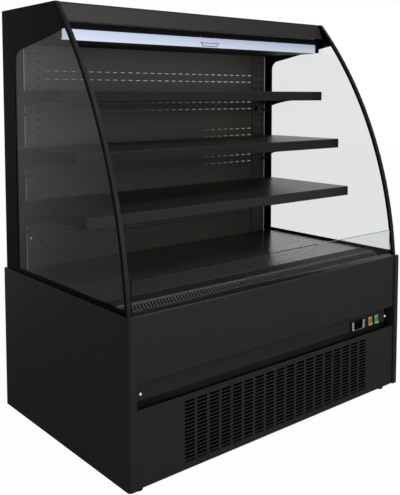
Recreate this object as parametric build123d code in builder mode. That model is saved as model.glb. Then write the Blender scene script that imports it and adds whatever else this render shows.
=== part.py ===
from build123d import *
import math
import os

os.makedirs("parts", exist_ok=True)

# ---------------------------------------------------------------- the whole case
case_width = 1250.0
case_depth = 780.0
post_proud = 6.0
base_height = 499.0
upper_height = 898.0
foot_clearance = 22.0
fit_gap = 0.3
sheet = 1.5
side_gap = 1.0
overcut = 1.0

half_width = case_width / 2
base_bottom = foot_clearance
base_top = base_bottom + base_height
roof_top = base_top + upper_height


def behind(setback):
    """y of a point this far behind the front panels of the base"""
    return setback + post_proud - case_depth / 2


def above(height):
    """z of a point this far above the lower edge of the base panels"""
    return base_bottom + height


# ---------------------------------------------------------------- base panels
side_panel = 28.0
post_radius = 10.0
post_inner_radius = 2.0
panel_edge = 0.8
upper_panel_bottom = 302.0
lower_panel_top = 229.0
panel_bend = 4.0
panel_half = half_width - side_panel - fit_gap
strip_setback = 18.0
strip_ledge = 240.5
strip_ledge_rear = 50.0
strip_bottom = 208.0
strip_top = 331.0
strip_bend = 7.0
strip_right = 566.0
strip_ear = 11.0
strip_ear_height = 14.0

slot_columns = 18
slot_rows = 17
slot_width = 38.4
slot_height = 7.4
slot_corner = 1.6
slot_pitch_x = 48.1
slot_pitch_z = 11.4
slots_centre_x = 4.5
slots_lowest_z = 24.4

floor_sheet = 2.0
floor_rim = 28.0
floor_front = 1.8
rear_panel_setback = 750.0
rear_panel_top = 331.5
vent_columns = 12
vent_rows = 7
vent_width = 52.0
vent_height = 6.0
vent_pitch_x = 72.0
vent_pitch_z = 18.0
vent_centre_z = 190.0

# ---------------------------------------------------------------- feet
foot_inset_x = 57.0
foot_inset_front = 40.0
foot_inset_rear = 710.0
pad_radius = 17.0
pad_height = 8.0
pad_edge = 2.0
neck_radius = 9.0
stud_radius = 6.0
stud_height = 46.0
stud_clearance = 0.1
foot_nut_radius = 13.0
foot_nut_height = 10.0

# ---------------------------------------------------------------- insulated well
well_half = panel_half
well_front = 44.0
well_rear = 765.0
well_bottom = 332.0
well_wall = 35.0
well_rear_wall = 43.0
well_rim = 491.0
ledge_front = 660.0
ledge_rear = 690.0
ledge_bottom = 471.0
drain_radius = 12.0
drain_setback = 300.0

# ---------------------------------------------------------------- deck and air return
deck_half = half_width - 20.5
deck_front = 161.3
deck_rear = 676.0
deck_level = 505.0
deck_bend = 3.0
return_half = well_half - fit_gap
return_rear = 160.0
return_edge = 102.0
return_foot = 69.0
return_foot_height = 478.3
return_front = 36.0
return_bend = 2.5
bar_pitch = 12.0
bar_count = 97
bar_slot = 6.4
bar_slot_length = 21.0
bar_slot_drop = 17.6
bar_corner = 1.8
dot_width = 6.0
dot_length = 9.0
dot_rows = (117.0, 131.0, 145.0)

# ---------------------------------------------------------------- front riser
riser_front = 20.0
riser_glass = 6.0
riser_top = 595.0
glass_edge = 0.6
profile_wall = 5.4
profile_height = 18.0
profile_proud = 4.0
profile_groove = 12.0
profile_front = riser_front - fit_gap - profile_wall
profile_rear = riser_front + riser_glass + fit_gap + profile_wall

# ---------------------------------------------------------------- upper end frames
frame_inset = 6.0
frame_skin = 2.0
frame_thickness = 12.0
frame_rear = 765.0
arc_radius = 1526.2
arc_centre_setback = 1530.5
arc_centre_height = 385.5
trim_width = 16.0
trim_depth = 12.0
trim_edge = 2.5
opening_rear = 674.0
opening_sill = 514.0
beam_rear_height = 1251.7
beam_front_setback = 335.0
beam_front_height = 1310.0
opening_corner = 35.0
sill_corner = 2.0
glass_bite = 7.0
rebate_bite = 8.0
end_glass = 6.0

frame_outer = half_width - frame_inset
frame_inner = frame_outer - frame_thickness

# ---------------------------------------------------------------- back wall
wall_front = 725.0
wall_half = frame_inner - fit_gap
roof_sheet = 2.0
upright_outer = 50.0
upright_width = 70.0
upright_front = 683.0
hook_pitch = 28.6
hook_columns = (67.0, 100.0)
hook_slot_width = 12.0
hook_slot_height = 4.4
hook_rows = 25
hook_top = 1252.2
canopy_level = 1281.0
back_panel_setback = 686.0
back_panel_sheet = 1.2
back_slot_columns = 29
back_slot_pitch = 34.7
back_slot_width = 19.0
back_slot_height = 4.0
back_pair_tops = 1195.0
back_pairs = 6
back_pair_pitch = 4 * hook_pitch

# ---------------------------------------------------------------- shelves
shelf_half = half_width - 20.0
shelf_rear = 676.0
shelf_lip = 36.0
shelf_lip_return = 12.0
shelf_rear_flange = 14.0
shelf_bend = 2.5
shelf_fronts = (376.0, 284.0, 232.0)
shelf_tops = (1123.0, 932.0, 743.0)
bracket_sheet = 2.0
bracket_inset = 0.5
bracket_front_gap = 14.0
bracket_rear = 681.0
bracket_flat_ends = (500.0, 366.0, 350.0)
bracket_depths = (61.0, 84.0, 90.0)
bracket_tab = 25.0
bracket_tab_width = 14.0
bracket_hole_setback = 49.0
bracket_hole_drop = 24.0
bracket_hole_radius = 3.0
hook_least_drop = 18.0
hook_tongue_width = 8.0
hook_tongue = 2.0
hook_lip_drop = 7.0
hook_arm_height = 10.0
hook_arm_setback = 678.0
heel_height = 12.0
heel_reach = 58.0
heel_setback = 682.7

# ---------------------------------------------------------------- canopy
canopy_half = half_width - 36.5
fascia_front = 371.0
fascia_bottom = 1337.5
fascia_top_setback = 399.0
fascia_reach = frame_outer - trim_width - fit_gap
fascia_flange = 40.0
fascia_bend = 3.0
roof_front = 397.0
roof_wide_front = 428.0
lamp_front = 400.0
lamp_rear = 426.0
lamp_top = 1315.0
lamp_wall = 3.0
diffuser_thickness = 3.0
underside_front = lamp_rear + fit_gap
underside_rear = 691.0
outlet_setback = 470.0
outlet_length = 46.0
outlet_slot = 5.0
outlet_pitch = 12.0
outlet_count = 94
cheek_front = 396.0
cheek_rear = 470.0
cheek_step = 8.0
cheek_relief = 3.75

# ---------------------------------------------------------------- night blind
pull_run = 0.439
pull_drop = 0.898
rail_setback = 394.5
rail_height = 1326.5
rail_depth = 9.0
rail_thickness = 18.0
rail_bend = 2.0
boss_radius = 3.0
boss_rise = 1.2
rail_half = canopy_half - 2.0
sheet_thickness = 0.8
sheet_half = canopy_half - 4.0
sheet_free = 26.0
tube_radius = 16.0
tube_bore = 4.06
pin_radius = 4.0
pin_length = 10.0
pin_bore_depth = 12.0
handle_x = -8.0
handle_wire = 1.2
handle_leg_gap = 70.0
handle_width = 90.0
handle_reach = 16.0
handle_drop = 32.5
handle_loop_drop = 43.5
handle_bend = 4.0

# ---------------------------------------------------------------- controls
control_x = 401.6
control_height = 266.5
bezel_width = 78.0
bezel_height = 35.0
bezel_corner = 3.0
bezel_proud = 6.0
body_width = 71.0
body_height = 29.0
body_depth = 55.0
cutout_gap = 0.25
display_width = 46.0
display_height = 29.0
display_corner = 1.5
display_thickness = 0.8
key_width = 10.0
key_height = 14.0
key_corner = 0.9
key_thickness = 5.0
key_proud = 1.2
key_gap = 0.35
key_pocket = 5.2
key_offset_x = 30.5
key_offset_z = 8.0
switch_positions = (476.1, 513.5)
switch_height = 266.0
switch_width = 27.0
switch_tall = 36.0
switch_corner = 1.5
switch_proud = 2.5
switch_body_width = 25.6
switch_body_tall = 35.4
switch_body_depth = 26.0
rocker_width = 22.4
rocker_tall = 31.0
rocker_gap = 0.35
rocker_depth = 5.5
rocker_belly = 5.0
rocker_sweep = 16.3
rocker_pivot = 0.5
pivot_radius = 1.5
pivot_clearance = 0.06
rocker_angle = 14.0
rocker_proud = 0.6
rocker_cavity = 13.0

# ---------------------------------------------------------------- screws
strip_screw_inset = 55.2
strip_screw_height = 265.8
screw_radius = 4.5
screw_rise = 2.4
screw_taper = 32.0
wall_screw_inset = 63.5
wall_screw_height = 610.0
oval_hole_inset = 100.0
oval_hole_height = 1052.0
oval_hole_width = 16.0
oval_hole_tall = 26.0

# ---------------------------------------------------------------- machinery
coil_left = -395.0
coil_right = -65.0
coil_front = 60.0
coil_depth = 44.0
coil_bottom = 24.0
coil_top = 214.0
coil_end_plate = 2.0
fin_pitch = 7.5
fin_sheet = 2.5
tube_rows = 5
coil_tube_radius = 4.8
coil_tube_stub = 14.0
fan_hole_radius = 82.0
fan_gap = 4.0
shroud_depth = 24.0
shroud_sheet = 3.0
hub_share = 0.3
fan_blades = 5
blade_depth = 26.0
blade_thickness = 2.4
blade_pitch = 30.0
motor_radius = 30.0
motor_length = 60.0
shaft_radius = 4.0
shaft_clearance = 0.05
strut_width = 8.0
compressor_x = 330.0
compressor_setback = 470.0
compressor_radius = 78.0
compressor_height = 150.0
compressor_shoulder = 32.0
compressor_base_width = 190.0
compressor_base_depth = 130.0
compressor_base_sheet = 4.0
compressor_mount_radius = 12.0
compressor_mount_height = 18.0
terminal_cover_width = 58.0
terminal_cover_height = 52.0
terminal_cover_depth = 14.0
terminal_corner = 3.0
pipe_stub = 30.0
box_width = 150.0
box_depth = 190.0
box_height = 130.0
box_x = 500.0
box_setback = 250.0
box_corner = 4.0
box_lid = 12.0
box_lid_lap = 1.5
gland_x = 430.0
gland_height = 60.0
gland_bore = 5.0
gland_thread_radius = 8.0
gland_nut_radius = 12.0
gland_nut = 6.0
gland_length = 16.0
evaporator_half = 470.0
evaporator_front = 500.0
evaporator_depth = 150.0
evaporator_height = 84.0
evaporator_fin_pitch = 30.0
evaporator_fin = 12.0
evaporator_fan_x = 220.0
evaporator_fan_setback = 400.0
evaporator_hole_radius = 44.0
evaporator_plate_half = 540.0
evaporator_plate_height = 100.0
evaporator_motor_radius = 18.0
evaporator_motor_length = 36.0
evaporator_blade_depth = 18.0

# ---------------------------------------------------------------- shared profiles


def finish(piece, name):
    """names a finished piece and writes it"""
    piece.part.label = name
    export_step(piece.part, f"parts/{name}.step")


def folded_sheet(points, thickness, bend, reach):
    """a folded sheet that runs across the case, reach each side of the middle"""
    with BuildSketch(Plane.YZ.offset(-reach)) as section:
        with BuildLine():
            FilletPolyline(*points, radius=bend)
        trace(line_width=thickness)
    extrude(section.sketch, amount=2 * reach)


def slab(x_low, x_high, y_low, y_high, z_low, z_high, mode=Mode.ADD):
    """a block between these planes"""
    size = (x_high - x_low, y_high - y_low, z_high - z_low)
    middle = ((x_high + x_low) / 2, (y_high + y_low) / 2, (z_high + z_low) / 2)
    with Locations(middle):
        Box(*size, mode=mode)


def front_plane(y, x=0.0, z=0.0):
    """a plane that faces forward at this depth, with X to the right and Z up"""
    return Plane(origin=(x, y, z), x_dir=(1, 0, 0), z_dir=(0, -1, 0))


def opening_points(grow):
    """corners of the end frame's glazed opening, grown outwards by this much"""
    slope = (beam_front_height - beam_rear_height) / (opening_rear - beam_front_setback)
    lift = grow * math.sqrt(1 + slope * slope) + grow * slope
    rear = opening_rear + grow
    front = -2 * trim_width
    front_height = beam_rear_height + slope * (opening_rear - front) + lift
    return [
        (behind(rear), above(opening_sill - grow)),
        (behind(rear), above(beam_rear_height) + lift - grow * slope),
        (behind(front), above(front_height) - grow * slope),
        (behind(front), above(opening_sill - grow)),
    ]


def opening_sketch(grow, mode=Mode.ADD):
    """the glazed opening, round at its two rear corners"""
    with BuildSketch(mode=Mode.PRIVATE) as window:
        with BuildLine():
            Polyline(*opening_points(grow), close=True)
        make_face()
        corners = window.vertices().group_by(Axis.X)[-1].sort_by(Axis.Y)
        fillet(corners[-1], radius=opening_corner + grow)
        rear_low = window.vertices().sort_by(Axis.Y)[0:2].sort_by(Axis.X)[-1]
        fillet(rear_low, radius=sill_corner + grow)
    add(window.sketch, mode=mode)


def arc_disc(radius, mode=Mode.ADD):
    """the disc whose rim is the curved front of the case, seen from the side"""
    with Locations((behind(arc_centre_setback), above(arc_centre_height))):
        Circle(radius, mode=mode)


def side_rectangle(front, rear, low, high, mode=Mode.ADD):
    """a rectangle in side view, between two setbacks and two heights"""
    middle = ((behind(front) + behind(rear)) / 2, (above(low) + above(high)) / 2)
    with Locations(middle):
        Rectangle(rear - front, high - low, mode=mode)


# ---------------------------------------------------------------- base


def make_base_side(name, side):
    """end panel of the base; its rounded front post stands a little proud of the front panels"""
    outer_edge, inner_edge = (-1, 0) if side > 0 else (0, -1)
    with BuildPart() as panel:
        slab(
            min(side * half_width, side * (half_width - side_panel)),
            max(side * half_width, side * (half_width - side_panel)),
            behind(-post_proud),
            behind(case_depth - post_proud),
            base_bottom,
            base_top,
        )
        fillet(panel.edges().filter_by(Axis.Z).group_by(Axis.Y)[0].sort_by(Axis.X)[outer_edge], radius=post_radius)
        fillet(panel.edges().filter_by(Axis.Z).group_by(Axis.Y)[0].sort_by(Axis.X)[inner_edge], radius=post_inner_radius)
        chamfer(panel.faces().sort_by(Axis.Z)[-1].edges(), length=panel_edge)
    finish(panel, name)


make_base_side("base_side_left", -1)
make_base_side("base_side_right", 1)

with BuildPart() as front_panel:
    front_line = behind(sheet / 2)
    lower_line = above(upper_panel_bottom) + sheet / 2
    folded_sheet(
        [
            (behind(profile_front - fit_gap), base_top - sheet / 2),
            (front_line, base_top - sheet / 2),
            (front_line, lower_line),
            (behind(strip_setback), lower_line),
        ],
        sheet,
        panel_bend,
        panel_half,
    )
finish(front_panel, "front_panel")

with BuildPart() as control_strip:
    face_line = behind(strip_setback) + sheet / 2
    ledge_line = behind(strip_ledge_rear) + sheet / 2
    folded_sheet(
        [
            (face_line, above(strip_top)),
            (face_line, above(strip_ledge) + sheet / 2),
            (ledge_line, above(strip_ledge) + sheet / 2),
            (ledge_line, above(strip_bottom)),
        ],
        sheet,
        strip_bend,
        panel_half,
    )
    slab(
        strip_right,
        half_width,
        behind(strip_setback) - overcut,
        behind(strip_ledge_rear),
        above(strip_ledge) - overcut,
        above(strip_top) + overcut,
        mode=Mode.SUBTRACT,
    )
    slab(
        strip_right - sheet,
        strip_right,
        behind(strip_setback) + sheet,
        behind(strip_ledge_rear) + sheet,
        above(strip_ledge) + sheet,
        above(upper_panel_bottom),
    )
    slab(
        strip_right - sheet,
        panel_half,
        behind(strip_ledge_rear),
        behind(strip_ledge_rear) + sheet,
        above(strip_ledge) + strip_bend,
        above(upper_panel_bottom),
    )
    slab(
        strip_right - sheet,
        strip_right + strip_ear,
        behind(strip_setback),
        behind(strip_setback) + sheet,
        above(strip_screw_height) - strip_ear_height / 2,
        above(strip_screw_height) + strip_ear_height / 2,
    )
    with BuildSketch(front_plane(behind(strip_setback))):
        with Locations((control_x, above(control_height))):
            Rectangle(body_width + 2 * cutout_gap, body_height + 2 * cutout_gap)
        with Locations(*[(x, above(switch_height)) for x in switch_positions]):
            Rectangle(switch_body_width + 2 * cutout_gap, switch_body_tall + 2 * cutout_gap)
    extrude(amount=-2 * sheet, mode=Mode.SUBTRACT)
finish(control_strip, "control_strip")

with BuildPart() as grille_panel:
    slab(-panel_half, panel_half, behind(0), behind(sheet), base_bottom + fit_gap, above(lower_panel_top))
    slots_height = slots_lowest_z + slot_pitch_z * (slot_rows - 1) / 2
    with BuildSketch(front_plane(behind(0))):
        with Locations((slots_centre_x, above(slots_height))):
            with GridLocations(slot_pitch_x, slot_pitch_z, slot_columns, slot_rows):
                RectangleRounded(slot_width, slot_height, radius=slot_corner)
    extrude(amount=-2 * sheet, mode=Mode.SUBTRACT)
finish(grille_panel, "grille_panel")

foot_places = [
    (-half_width + foot_inset_x, behind(foot_inset_front)),
    (half_width - foot_inset_x, behind(foot_inset_front)),
    (-half_width + foot_inset_x, behind(foot_inset_rear)),
    (half_width - foot_inset_x, behind(foot_inset_rear)),
]

with BuildPart() as base_floor:
    slab(-panel_half, panel_half, behind(floor_front), behind(rear_panel_setback), base_bottom, above(floor_rim))
    slab(
        -panel_half + floor_sheet,
        panel_half - floor_sheet,
        behind(floor_front + floor_sheet),
        behind(rear_panel_setback - floor_sheet),
        above(floor_sheet),
        above(2 * floor_rim),
        mode=Mode.SUBTRACT,
    )
    with BuildSketch(Plane.XY.offset(above(floor_sheet))):
        with Locations(*foot_places):
            RegularPolygon(foot_nut_radius, 6)
    extrude(amount=foot_nut_height)
    with BuildSketch(Plane.XY.offset(base_bottom)):
        with Locations(*foot_places):
            Circle(stud_radius + stud_clearance)
    extrude(amount=floor_rim, mode=Mode.SUBTRACT)
finish(base_floor, "base_floor")


def make_foot(name, place):
    """levelling foot: pad, hexagon neck and threaded stud"""
    with BuildPart() as foot:
        with BuildSketch(Plane.XY):
            with Locations(place):
                Circle(pad_radius)
        extrude(amount=pad_height)
        chamfer(foot.edges().filter_by(GeomType.CIRCLE).sort_by(Axis.Z)[-1], length=pad_edge)
        with BuildSketch(Plane.XY.offset(pad_height)):
            with Locations(place):
                RegularPolygon(neck_radius, 6)
        extrude(amount=base_bottom - fit_gap - pad_height)
        with BuildSketch(Plane.XY.offset(base_bottom - fit_gap)):
            with Locations(place):
                Circle(stud_radius)
        extrude(amount=stud_height - base_bottom + fit_gap)
    finish(foot, name)


foot_names = ("foot_front_left", "foot_front_right", "foot_rear_left", "foot_rear_right")
for foot_name, foot_place in zip(foot_names, foot_places):
    make_foot(foot_name, foot_place)

with BuildPart() as rear_panel:
    slab(
        -panel_half,
        panel_half,
        behind(rear_panel_setback),
        behind(rear_panel_setback + sheet),
        base_bottom + fit_gap,
        above(rear_panel_top),
    )
    with BuildSketch(front_plane(behind(rear_panel_setback))):
        with Locations((0, above(vent_centre_z))):
            with GridLocations(vent_pitch_x, vent_pitch_z, vent_columns, vent_rows):
                SlotOverall(vent_width, vent_height)
        with Locations((gland_x, above(gland_height))):
            Circle(gland_thread_radius + cutout_gap)
    extrude(amount=-2 * sheet, mode=Mode.SUBTRACT)
finish(rear_panel, "rear_panel")

with BuildPart() as power_inlet_gland:
    outer_face = behind(rear_panel_setback + sheet)
    with BuildSketch(Plane.XZ.offset(-outer_face)):
        with Locations((gland_x, above(gland_height))):
            RegularPolygon(gland_nut_radius, 6)
    extrude(amount=-gland_nut)
    with BuildSketch(Plane.XZ.offset(-outer_face)):
        with Locations((gland_x, above(gland_height))):
            Circle(gland_thread_radius)
    extrude(amount=-gland_length)
    with BuildSketch(Plane.XZ.offset(-outer_face)):
        with Locations((gland_x, above(gland_height))):
            Circle(gland_thread_radius)
    extrude(amount=sheet + gland_nut)
    with BuildSketch(Plane.XZ.offset(-behind(rear_panel_setback))):
        with Locations((gland_x, above(gland_height))):
            RegularPolygon(gland_nut_radius, 6)
    extrude(amount=gland_nut)
    with BuildSketch(Plane.XZ.offset(-behind(rear_panel_setback - 2 * gland_nut))):
        with Locations((gland_x, above(gland_height))):
            Circle(gland_bore)
    extrude(amount=-4 * gland_length, mode=Mode.SUBTRACT)
finish(power_inlet_gland, "power_inlet_gland")

with BuildPart() as insulated_well:
    slab(-well_half, well_half, behind(well_front), behind(well_rear), above(well_bottom), above(well_rim))
    slab(
        -well_half + well_wall,
        well_half - well_wall,
        behind(well_front + well_wall),
        behind(well_rear - well_rear_wall),
        above(well_bottom + well_wall),
        above(2 * well_rim),
        mode=Mode.SUBTRACT,
    )
    slab(
        -well_half - overcut,
        well_half + overcut,
        behind(well_front - overcut),
        behind(return_edge),
        above(return_foot_height) - fit_gap,
        above(2 * well_rim),
        mode=Mode.SUBTRACT,
    )
    slab(
        -well_half + well_wall,
        well_half - well_wall,
        behind(ledge_front),
        behind(ledge_rear),
        above(ledge_bottom),
        above(well_rim),
    )
    with BuildSketch(Plane.XY.offset(above(well_bottom))):
        with Locations((0, behind(drain_setback))):
            Circle(drain_radius)
    extrude(amount=2 * well_wall, mode=Mode.SUBTRACT)
finish(insulated_well, "insulated_well")

# ---------------------------------------------------------------- deck, air return, riser

with BuildPart() as deck_pan:
    deck_line = above(deck_level) - sheet / 2
    flange_half = well_half - side_gap
    folded_sheet(
        [
            (behind(deck_front) + sheet / 2, above(well_rim) + fit_gap),
            (behind(deck_front) + sheet / 2, deck_line),
            (behind(deck_rear) - sheet / 2, deck_line),
            (behind(deck_rear) - sheet / 2, above(well_rim) + fit_gap),
        ],
        sheet,
        deck_bend,
        flange_half,
    )
    for side in (-1, 1):
        slab(
            min(side * flange_half, side * deck_half),
            max(side * flange_half, side * deck_half),
            behind(deck_front + deck_bend),
            behind(deck_rear - deck_bend),
            above(deck_level) - sheet,
            above(deck_level),
        )
        slab(
            min(side * deck_half, side * (deck_half - sheet)),
            max(side * deck_half, side * (deck_half - sheet)),
            behind(deck_front + deck_bend),
            behind(deck_rear - deck_bend),
            base_top + fit_gap,
            above(deck_level),
        )
finish(deck_pan, "deck_pan")

with BuildPart() as return_grille:
    half_sheet = sheet / 2
    folded_sheet(
        [
            (behind(return_rear), above(deck_level) - half_sheet),
            (behind(return_edge), above(deck_level) - half_sheet),
            (behind(return_foot), above(return_foot_height) + half_sheet),
            (behind(return_front), above(return_foot_height) + half_sheet),
        ],
        sheet,
        return_bend,
        return_half,
    )
    slope_run = return_edge - return_foot
    slope_rise = deck_level - return_foot_height - sheet
    slots_down = bar_slot_drop / math.hypot(slope_run, slope_rise)
    slots_middle = (
        0,
        behind(return_edge - slots_down * slope_run),
        above(deck_level - slots_down * slope_rise),
    )
    slope_plane = Plane(origin=slots_middle, x_dir=(1, 0, 0), z_dir=(0, -slope_rise, slope_run))
    with BuildSketch(slope_plane):
        with GridLocations(bar_pitch, 1, bar_count, 1):
            RectangleRounded(bar_slot, bar_slot_length, radius=bar_corner)
    extrude(amount=3 * sheet, both=True, mode=Mode.SUBTRACT)
    with BuildSketch(Plane.XY.offset(above(deck_level) - 3 * sheet)):
        for dot_row in dot_rows:
            with Locations((0, behind(dot_row))):
                with GridLocations(bar_pitch, 1, bar_count, 1):
                    RectangleRounded(dot_width, dot_length, radius=bar_corner)
    extrude(amount=4 * sheet, mode=Mode.SUBTRACT)
    slab(
        -return_half,
        return_half,
        behind(return_rear - sheet),
        behind(return_rear),
        above(well_rim),
        above(deck_level) - sheet,
    )
finish(return_grille, "return_grille")

with BuildPart() as riser_profile:
    slab(
        -panel_half,
        panel_half,
        behind(profile_front),
        behind(profile_rear),
        base_top + profile_proud - profile_height,
        base_top + profile_proud,
    )
    slab(
        -half_width,
        half_width,
        behind(profile_front + profile_wall),
        behind(profile_rear - profile_wall),
        base_top + profile_proud - profile_groove,
        roof_top,
        mode=Mode.SUBTRACT,
    )
finish(riser_profile, "riser_profile")

with BuildPart() as riser_pane:
    slab(
        -panel_half + side_gap,
        panel_half - side_gap,
        behind(riser_front),
        behind(riser_front + riser_glass),
        base_top + profile_proud - profile_groove,
        above(riser_top),
    )
    chamfer(riser_pane.edges().filter_by(Axis.X), length=glass_edge)
finish(riser_pane, "riser_glass")

# ---------------------------------------------------------------- end frames, glass, trims


def make_end_frame(name, side):
    """end frame: rear post, sloping top beam and sill, rebated inside for the pane"""
    outer_face = side * frame_outer
    step_face = side * (frame_outer - frame_skin)
    with BuildPart() as frame:
        for face, depth, grow in (
            (outer_face, frame_skin, 0.0),
            (step_face, frame_thickness - frame_skin, rebate_bite),
        ):
            with BuildSketch(Plane.YZ.offset(face)):
                side_rectangle(0, frame_rear, base_height, base_height + upper_height)
                arc_disc(arc_radius - trim_depth - fit_gap, mode=Mode.INTERSECT)
                opening_sketch(grow, mode=Mode.SUBTRACT)
            extrude(amount=-side * depth)
    finish(frame, name)


make_end_frame("end_frame_left", -1)
make_end_frame("end_frame_right", 1)

with BuildPart() as end_glasses:
    for side in (-1, 1):
        with BuildSketch(Plane.YZ.offset(side * (frame_outer - frame_skin))):
            opening_sketch(glass_bite)
            arc_disc(arc_radius - trim_depth - 2 * fit_gap, mode=Mode.INTERSECT)
        extrude(amount=-side * end_glass)
finish(end_glasses, "end_glasses")


def make_trim(name, side):
    """curved front trim of one end"""
    with BuildPart() as trim:
        with BuildSketch(Plane.YZ.offset(side * frame_outer)):
            side_rectangle(0, frame_rear, base_height, base_height + upper_height)
            arc_disc(arc_radius, mode=Mode.INTERSECT)
            arc_disc(arc_radius - trim_depth, mode=Mode.SUBTRACT)
        extrude(amount=-side * trim_width)
        long_edges = trim.edges().filter_by(lambda e: e.length > upper_height)
        front_edges = long_edges.sort_by(lambda e: e.radius)[-2:]
        fillet(front_edges, radius=trim_edge)
    finish(trim, name)


make_trim("trim_left", -1)
make_trim("trim_right", 1)

# ---------------------------------------------------------------- back wall and uprights

with BuildPart() as back_wall:
    slab(
        -wall_half,
        wall_half,
        behind(wall_front),
        behind(frame_rear),
        base_top + fit_gap,
        roof_top - roof_sheet,
    )
    slab(
        -well_half + side_gap,
        well_half - side_gap,
        behind(wall_front),
        behind(frame_rear),
        above(well_rim),
        base_top + overcut,
    )
finish(back_wall, "back_wall")

with BuildPart() as uprights:
    upright_inner = upright_outer + upright_width
    upright_back = behind(wall_front)
    for side in (-1, 1):
        outer_x = side * (half_width - upright_outer)
        inner_x = side * (half_width - upright_inner)
        low_x = min(outer_x, inner_x)
        high_x = max(outer_x, inner_x)
        slab(low_x, high_x, behind(upright_front), upright_back, above(well_rim), above(canopy_level))
        slab(
            low_x + sheet,
            high_x - sheet,
            behind(upright_front + sheet),
            upright_back + sheet,
            base_bottom,
            roof_top,
            mode=Mode.SUBTRACT,
        )
    hook_middle = hook_top - hook_pitch * (hook_rows - 1) / 2
    with BuildSketch(front_plane(behind(upright_front))):
        for side in (-1, 1):
            for column in hook_columns:
                with Locations((side * (half_width - column), above(hook_middle))):
                    with GridLocations(1, hook_pitch, 1, hook_rows):
                        SlotOverall(hook_slot_width, hook_slot_height)
        with Locations((half_width - oval_hole_inset, above(oval_hole_height))):
            Rectangle(oval_hole_width, oval_hole_tall - oval_hole_width)
        for end in (-1, 1):
            oval_end = above(oval_hole_height) + end * (oval_hole_tall - oval_hole_width) / 2
            with Locations((half_width - oval_hole_inset, oval_end)):
                Circle(oval_hole_width / 2)
    extrude(amount=-2 * sheet, mode=Mode.SUBTRACT)
finish(uprights, "uprights")

with BuildPart() as inner_back_panel:
    panel_reach = half_width - upright_inner - fit_gap
    slab(
        -panel_reach,
        panel_reach,
        behind(back_panel_setback),
        behind(back_panel_setback + back_panel_sheet),
        above(well_rim),
        above(canopy_level),
    )
    with BuildSketch(front_plane(behind(back_panel_setback))):
        for pair in range(back_pairs):
            for row in range(2):
                row_height = back_pair_tops - pair * back_pair_pitch - row * hook_pitch
                with Locations((0, above(row_height))):
                    with GridLocations(back_slot_pitch, 1, back_slot_columns, 1):
                        Rectangle(back_slot_width, back_slot_height)
    extrude(amount=-3 * sheet, mode=Mode.SUBTRACT)
finish(inner_back_panel, "inner_back_panel")

# ---------------------------------------------------------------- shelves


def hook_height(top):
    """height of the upright's slot that a shelf with this top hooks into"""
    steps = math.ceil((hook_top - (top - hook_least_drop)) / hook_pitch)
    return hook_top - steps * hook_pitch


def make_shelf_board(name, front, top):
    """shelf board with its front lip and rear flange"""
    with BuildPart() as board:
        top_line = above(top) - sheet / 2
        lip_line = above(top - shelf_lip) + sheet / 2
        folded_sheet(
            [
                (behind(front + shelf_lip_return), lip_line),
                (behind(front) + sheet / 2, lip_line),
                (behind(front) + sheet / 2, top_line),
                (behind(shelf_rear) - sheet / 2, top_line),
                (behind(shelf_rear) - sheet / 2, above(top - shelf_rear_flange)),
            ],
            sheet,
            shelf_bend,
            shelf_half,
        )
    finish(board, name)


def make_shelf_brackets(name, front, top, flat_end, depth):
    """the two brackets of one shelf, hooked into the uprights"""
    under = above(top) - sheet
    tip = front + bracket_front_gap
    tab_front = bracket_rear - bracket_tab_width
    hook = hook_height(top)
    rear_cut = shelf_rear_flange + sheet
    lip_level = above(top - shelf_lip)
    with BuildPart() as brackets:
        for side in (-1, 1):
            outer = side * (shelf_half - bracket_inset)
            plate = side * (shelf_half - bracket_inset - bracket_sheet)
            plate_low = min(outer, plate)
            heel_end = side * (half_width - heel_reach)
            with BuildSketch(Plane.YZ.offset(plate_low)):
                with BuildLine():
                    Polyline(
                        (behind(tab_front), above(top - depth)),
                        (behind(tab_front), above(top - depth - bracket_tab)),
                        (behind(bracket_rear), above(top - depth - bracket_tab)),
                        (behind(bracket_rear), above(top) - rear_cut),
                        (behind(shelf_rear) - 2 * sheet, above(top) - rear_cut),
                        (behind(shelf_rear) - 2 * sheet, under),
                        (behind(tip), under),
                        (behind(tip), lip_level),
                        (behind(flat_end), lip_level),
                    )
                    Bezier(
                        (behind(flat_end), lip_level),
                        (behind((flat_end + tab_front) / 2), lip_level),
                        (behind(tab_front), above(top - depth)),
                    )
                make_face()
                with Locations((behind(front + bracket_hole_setback), above(top - bracket_hole_drop))):
                    Circle(bracket_hole_radius, mode=Mode.SUBTRACT)
            extrude(amount=bracket_sheet)
            slot_x = side * (half_width - hook_columns[0])
            arm_low = min(outer, slot_x - side * hook_tongue_width / 2)
            arm_high = max(outer, slot_x - side * hook_tongue_width / 2)
            slab(
                arm_low,
                arm_high,
                behind(hook_arm_setback),
                behind(bracket_rear),
                above(hook) - hook_arm_height,
                above(hook) + hook_tongue / 2,
            )
            slab(
                slot_x - hook_tongue_width / 2,
                slot_x + hook_tongue_width / 2,
                behind(hook_arm_setback),
                behind(upright_front + 3 * sheet + hook_tongue),
                above(hook) - hook_tongue / 2,
                above(hook) + hook_tongue / 2,
            )
            slab(
                slot_x - hook_tongue_width / 2,
                slot_x + hook_tongue_width / 2,
                behind(upright_front + 3 * sheet),
                behind(upright_front + 3 * sheet + hook_tongue),
                above(hook) - hook_lip_drop,
                above(hook) + hook_tongue / 2,
            )
            slab(
                min(outer, heel_end),
                max(outer, heel_end),
                behind(bracket_rear - sheet),
                behind(heel_setback),
                above(top - depth - bracket_tab),
                above(top - depth - bracket_tab + heel_height),
            )
    finish(brackets, name)


for number, (front, top, flat_end, depth) in enumerate(
    zip(shelf_fronts, shelf_tops, bracket_flat_ends, bracket_depths), start=1
):
    make_shelf_board(f"shelf_board_{number}", front, top)
    make_shelf_brackets(f"shelf_brackets_{number}", front, top, flat_end, depth)

# ---------------------------------------------------------------- canopy

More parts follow.
